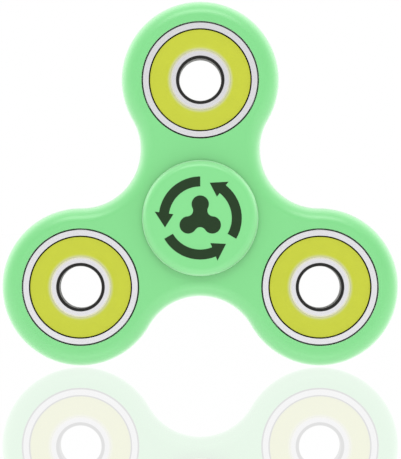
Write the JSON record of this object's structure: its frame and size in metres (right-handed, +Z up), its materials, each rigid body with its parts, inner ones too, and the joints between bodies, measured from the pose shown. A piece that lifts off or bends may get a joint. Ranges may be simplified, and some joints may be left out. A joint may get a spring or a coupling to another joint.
{
  "type": "fidget spinner",
  "caption": "Lobed fidget spinner whose body turns on a ball bearing between finger caps, with an open-bore ball bearing in each lobe.",
  "frame": {"origin": "centre of the centre bearing, on the spin axis and midway through the thickness", "axes": "+Y along the spin axis from the front cap to the rear cap, +Z up through the top lobe, +X to the right seen from the front"},
  "size_m": [0.0758, 0.0118, 0.0698],
  "materials": {
    "body_plastic": "satin",
    "cap_plastic": "satin",
    "seal_rubber": "satin",
    "ring_steel": "satin",
    "ball_steel": "polished",
    "cage_nylon": "matte",
    "print_ink": "matte"
  },
  "bodies": {
    "grip": {"front_cap": "cap_plastic", "rear_cap": "cap_plastic", "centre_inner_ring": "ring_steel"},
    "spinner": {"spinner_body": "body_plastic", "centre_outer_ring": "ring_steel", "centre_front_seal": "seal_rubber", "centre_rear_seal": "seal_rubber", "top_outer_ring": "ring_steel", "top_front_seal": "seal_rubber", "top_rear_seal": "seal_rubber", "left_outer_ring": "ring_steel", "left_front_seal": "seal_rubber", "left_rear_seal": "seal_rubber", "right_outer_ring": "ring_steel", "right_front_seal": "seal_rubber", "right_rear_seal": "seal_rubber"},
    "centre_cage": {"centre_cage": "cage_nylon"},
    "centre_ball_1": {"centre_ball_1": "ball_steel"},
    "centre_ball_2": {"centre_ball_2": "ball_steel"},
    "centre_ball_3": {"centre_ball_3": "ball_steel"},
    "centre_ball_4": {"centre_ball_4": "ball_steel"},
    "centre_ball_5": {"centre_ball_5": "ball_steel"},
    "centre_ball_6": {"centre_ball_6": "ball_steel"},
    "centre_ball_7": {"centre_ball_7": "ball_steel"},
    "top_hub": {"top_inner_ring": "ring_steel"},
    "top_cage": {"top_cage": "cage_nylon"},
    "top_ball_1": {"top_ball_1": "ball_steel"},
    "top_ball_2": {"top_ball_2": "ball_steel"},
    "top_ball_3": {"top_ball_3": "ball_steel"},
    "top_ball_4": {"top_ball_4": "ball_steel"},
    "top_ball_5": {"top_ball_5": "ball_steel"},
    "top_ball_6": {"top_ball_6": "ball_steel"},
    "top_ball_7": {"top_ball_7": "ball_steel"},
    "left_hub": {"left_inner_ring": "ring_steel"},
    "left_cage": {"left_cage": "cage_nylon"},
    "left_ball_1": {"left_ball_1": "ball_steel"},
    "left_ball_2": {"left_ball_2": "ball_steel"},
    "left_ball_3": {"left_ball_3": "ball_steel"},
    "left_ball_4": {"left_ball_4": "ball_steel"},
    "left_ball_5": {"left_ball_5": "ball_steel"},
    "left_ball_6": {"left_ball_6": "ball_steel"},
    "left_ball_7": {"left_ball_7": "ball_steel"},
    "right_hub": {"right_inner_ring": "ring_steel"},
    "right_cage": {"right_cage": "cage_nylon"},
    "right_ball_1": {"right_ball_1": "ball_steel"},
    "right_ball_2": {"right_ball_2": "ball_steel"},
    "right_ball_3": {"right_ball_3": "ball_steel"},
    "right_ball_4": {"right_ball_4": "ball_steel"},
    "right_ball_5": {"right_ball_5": "ball_steel"},
    "right_ball_6": {"right_ball_6": "ball_steel"},
    "right_ball_7": {"right_ball_7": "ball_steel"}
  },
  "joints": [
    {"name": "spinner_spin", "type": "hinge", "parent": "grip", "child": "spinner", "pos_m": [0, 0, 0], "axis": [0, 1, 0], "continuous": true},
    {"name": "centre_cage_spin", "type": "hinge", "parent": "grip", "child": "centre_cage", "pos_m": [0, 0, 0], "axis": [0, 1, 0], "continuous": true},
    {"name": "centre_ball_1_roll", "type": "hinge", "parent": "centre_cage", "child": "centre_ball_1", "pos_m": [0, 0, 0.0075], "axis": [0, 1, 0], "continuous": true},
    {"name": "centre_ball_2_roll", "type": "hinge", "parent": "centre_cage", "child": "centre_ball_2", "pos_m": [-0.00586, 0, 0.00468], "axis": [0, 1, 0], "continuous": true},
    {"name": "centre_ball_3_roll", "type": "hinge", "parent": "centre_cage", "child": "centre_ball_3", "pos_m": [-0.00731, 0, -0.00167], "axis": [0, 1, 0], "continuous": true},
    {"name": "centre_ball_4_roll", "type": "hinge", "parent": "centre_cage", "child": "centre_ball_4", "pos_m": [-0.00325, 0, -0.00676], "axis": [0, 1, 0], "continuous": true},
    {"name": "centre_ball_5_roll", "type": "hinge", "parent": "centre_cage", "child": "centre_ball_5", "pos_m": [0.00325, 0, -0.00676], "axis": [0, 1, 0], "continuous": true},
    {"name": "centre_ball_6_roll", "type": "hinge", "parent": "centre_cage", "child": "centre_ball_6", "pos_m": [0.00731, 0, -0.00167], "axis": [0, 1, 0], "continuous": true},
    {"name": "centre_ball_7_roll", "type": "hinge", "parent": "centre_cage", "child": "centre_ball_7", "pos_m": [0.00586, 0, 0.00468], "axis": [0, 1, 0], "continuous": true},
    {"name": "top_hub_spin", "type": "hinge", "parent": "spinner", "child": "top_hub", "pos_m": [0, 0, 0.0264], "axis": [0, 1, 0], "continuous": true},
    {"name": "top_cage_spin", "type": "hinge", "parent": "spinner", "child": "top_cage", "pos_m": [0, 0, 0.0264], "axis": [0, 1, 0], "continuous": true},
    {"name": "top_ball_1_roll", "type": "hinge", "parent": "top_cage", "child": "top_ball_1", "pos_m": [0, 0, 0.0339], "axis": [0, 1, 0], "continuous": true},
    {"name": "top_ball_2_roll", "type": "hinge", "parent": "top_cage", "child": "top_ball_2", "pos_m": [-0.00586, 0, 0.03108], "axis": [0, 1, 0], "continuous": true},
    {"name": "top_ball_3_roll", "type": "hinge", "parent": "top_cage", "child": "top_ball_3", "pos_m": [-0.00731, 0, 0.02473], "axis": [0, 1, 0], "continuous": true},
    {"name": "top_ball_4_roll", "type": "hinge", "parent": "top_cage", "child": "top_ball_4", "pos_m": [-0.00325, 0, 0.01964], "axis": [0, 1, 0], "continuous": true},
    {"name": "top_ball_5_roll", "type": "hinge", "parent": "top_cage", "child": "top_ball_5", "pos_m": [0.00325, 0, 0.01964], "axis": [0, 1, 0], "continuous": true},
    {"name": "top_ball_6_roll", "type": "hinge", "parent": "top_cage", "child": "top_ball_6", "pos_m": [0.00731, 0, 0.02473], "axis": [0, 1, 0], "continuous": true},
    {"name": "top_ball_7_roll", "type": "hinge", "parent": "top_cage", "child": "top_ball_7", "pos_m": [0.00586, 0, 0.03108], "axis": [0, 1, 0], "continuous": true},
    {"name": "left_hub_spin", "type": "hinge", "parent": "spinner", "child": "left_hub", "pos_m": [-0.02286, 0, -0.0132], "axis": [0, 1, 0], "continuous": true},
    {"name": "left_cage_spin", "type": "hinge", "parent": "spinner", "child": "left_cage", "pos_m": [-0.02286, 0, -0.0132], "axis": [0, 1, 0], "continuous": true},
    {"name": "left_ball_1_roll", "type": "hinge", "parent": "left_cage", "child": "left_ball_1", "pos_m": [-0.02286, 0, -0.0057], "axis": [0, 1, 0], "continuous": true},
    {"name": "left_ball_2_roll", "type": "hinge", "parent": "left_cage", "child": "left_ball_2", "pos_m": [-0.02873, 0, -0.00852], "axis": [0, 1, 0], "continuous": true},
    {"name": "left_ball_3_roll", "type": "hinge", "parent": "left_cage", "child": "left_ball_3", "pos_m": [-0.03018, 0, -0.01487], "axis": [0, 1, 0], "continuous": true},
    {"name": "left_ball_4_roll", "type": "hinge", "parent": "left_cage", "child": "left_ball_4", "pos_m": [-0.02612, 0, -0.01996], "axis": [0, 1, 0], "continuous": true},
    {"name": "left_ball_5_roll", "type": "hinge", "parent": "left_cage", "child": "left_ball_5", "pos_m": [-0.01961, 0, -0.01996], "axis": [0, 1, 0], "continuous": true},
    {"name": "left_ball_6_roll", "type": "hinge", "parent": "left_cage", "child": "left_ball_6", "pos_m": [-0.01555, 0, -0.01487], "axis": [0, 1, 0], "continuous": true},
    {"name": "left_ball_7_roll", "type": "hinge", "parent": "left_cage", "child": "left_ball_7", "pos_m": [-0.017, 0, -0.00852], "axis": [0, 1, 0], "continuous": true},
    {"name": "right_hub_spin", "type": "hinge", "parent": "spinner", "child": "right_hub", "pos_m": [0.02286, 0, -0.0132], "axis": [0, 1, 0], "continuous": true},
    {"name": "right_cage_spin", "type": "hinge", "parent": "spinner", "child": "right_cage", "pos_m": [0.02286, 0, -0.0132], "axis": [0, 1, 0], "continuous": true},
    {"name": "right_ball_1_roll", "type": "hinge", "parent": "right_cage", "child": "right_ball_1", "pos_m": [0.02286, 0, -0.0057], "axis": [0, 1, 0], "continuous": true},
    {"name": "right_ball_2_roll", "type": "hinge", "parent": "right_cage", "child": "right_ball_2", "pos_m": [0.017, 0, -0.00852], "axis": [0, 1, 0], "continuous": true},
    {"name": "right_ball_3_roll", "type": "hinge", "parent": "right_cage", "child": "right_ball_3", "pos_m": [0.01555, 0, -0.01487], "axis": [0, 1, 0], "continuous": true},
    {"name": "right_ball_4_roll", "type": "hinge", "parent": "right_cage", "child": "right_ball_4", "pos_m": [0.01961, 0, -0.01996], "axis": [0, 1, 0], "continuous": true},
    {"name": "right_ball_5_roll", "type": "hinge", "parent": "right_cage", "child": "right_ball_5", "pos_m": [0.02612, 0, -0.01996], "axis": [0, 1, 0], "continuous": true},
    {"name": "right_ball_6_roll", "type": "hinge", "parent": "right_cage", "child": "right_ball_6", "pos_m": [0.03018, 0, -0.01487], "axis": [0, 1, 0], "continuous": true},
    {"name": "right_ball_7_roll", "type": "hinge", "parent": "right_cage", "child": "right_ball_7", "pos_m": [0.02873, 0, -0.00852], "axis": [0, 1, 0], "continuous": true}
  ],
  "couplings": [
    {"joint": "centre_cage_spin", "follows": "spinner_spin", "ratio": 0.6323},
    {"joint": "centre_ball_1_roll", "follows": "spinner_spin", "ratio": 1.7573},
    {"joint": "centre_ball_2_roll", "follows": "spinner_spin", "ratio": 1.7573},
    {"joint": "centre_ball_3_roll", "follows": "spinner_spin", "ratio": 1.7573},
    {"joint": "centre_ball_4_roll", "follows": "spinner_spin", "ratio": 1.7573},
    {"joint": "centre_ball_5_roll", "follows": "spinner_spin", "ratio": 1.7573},
    {"joint": "centre_ball_6_roll", "follows": "spinner_spin", "ratio": 1.7573},
    {"joint": "centre_ball_7_roll", "follows": "spinner_spin", "ratio": 1.7573},
    {"joint": "top_cage_spin", "follows": "top_hub_spin", "ratio": 0.3677},
    {"joint": "top_ball_1_roll", "follows": "top_hub_spin", "ratio": -1.7573},
    {"joint": "top_ball_2_roll", "follows": "top_hub_spin", "ratio": -1.7573},
    {"joint": "top_ball_3_roll", "follows": "top_hub_spin", "ratio": -1.7573},
    {"joint": "top_ball_4_roll", "follows": "top_hub_spin", "ratio": -1.7573},
    {"joint": "top_ball_5_roll", "follows": "top_hub_spin", "ratio": -1.7573},
    {"joint": "top_ball_6_roll", "follows": "top_hub_spin", "ratio": -1.7573},
    {"joint": "top_ball_7_roll", "follows": "top_hub_spin", "ratio": -1.7573},
    {"joint": "left_cage_spin", "follows": "left_hub_spin", "ratio": 0.3677},
    {"joint": "left_ball_1_roll", "follows": "left_hub_spin", "ratio": -1.7573},
    {"joint": "left_ball_2_roll", "follows": "left_hub_spin", "ratio": -1.7573},
    {"joint": "left_ball_3_roll", "follows": "left_hub_spin", "ratio": -1.7573},
    {"joint": "left_ball_4_roll", "follows": "left_hub_spin", "ratio": -1.7573},
    {"joint": "left_ball_5_roll", "follows": "left_hub_spin", "ratio": -1.7573},
    {"joint": "left_ball_6_roll", "follows": "left_hub_spin", "ratio": -1.7573},
    {"joint": "left_ball_7_roll", "follows": "left_hub_spin", "ratio": -1.7573},
    {"joint": "right_cage_spin", "follows": "right_hub_spin", "ratio": 0.3677},
    {"joint": "right_ball_1_roll", "follows": "right_hub_spin", "ratio": -1.7573},
    {"joint": "right_ball_2_roll", "follows": "right_hub_spin", "ratio": -1.7573},
    {"joint": "right_ball_3_roll", "follows": "right_hub_spin", "ratio": -1.7573},
    {"joint": "right_ball_4_roll", "follows": "right_hub_spin", "ratio": -1.7573},
    {"joint": "right_ball_5_roll", "follows": "right_hub_spin", "ratio": -1.7573},
    {"joint": "right_ball_6_roll", "follows": "right_hub_spin", "ratio": -1.7573},
    {"joint": "right_ball_7_roll", "follows": "right_hub_spin", "ratio": -1.7573}
  ]
}
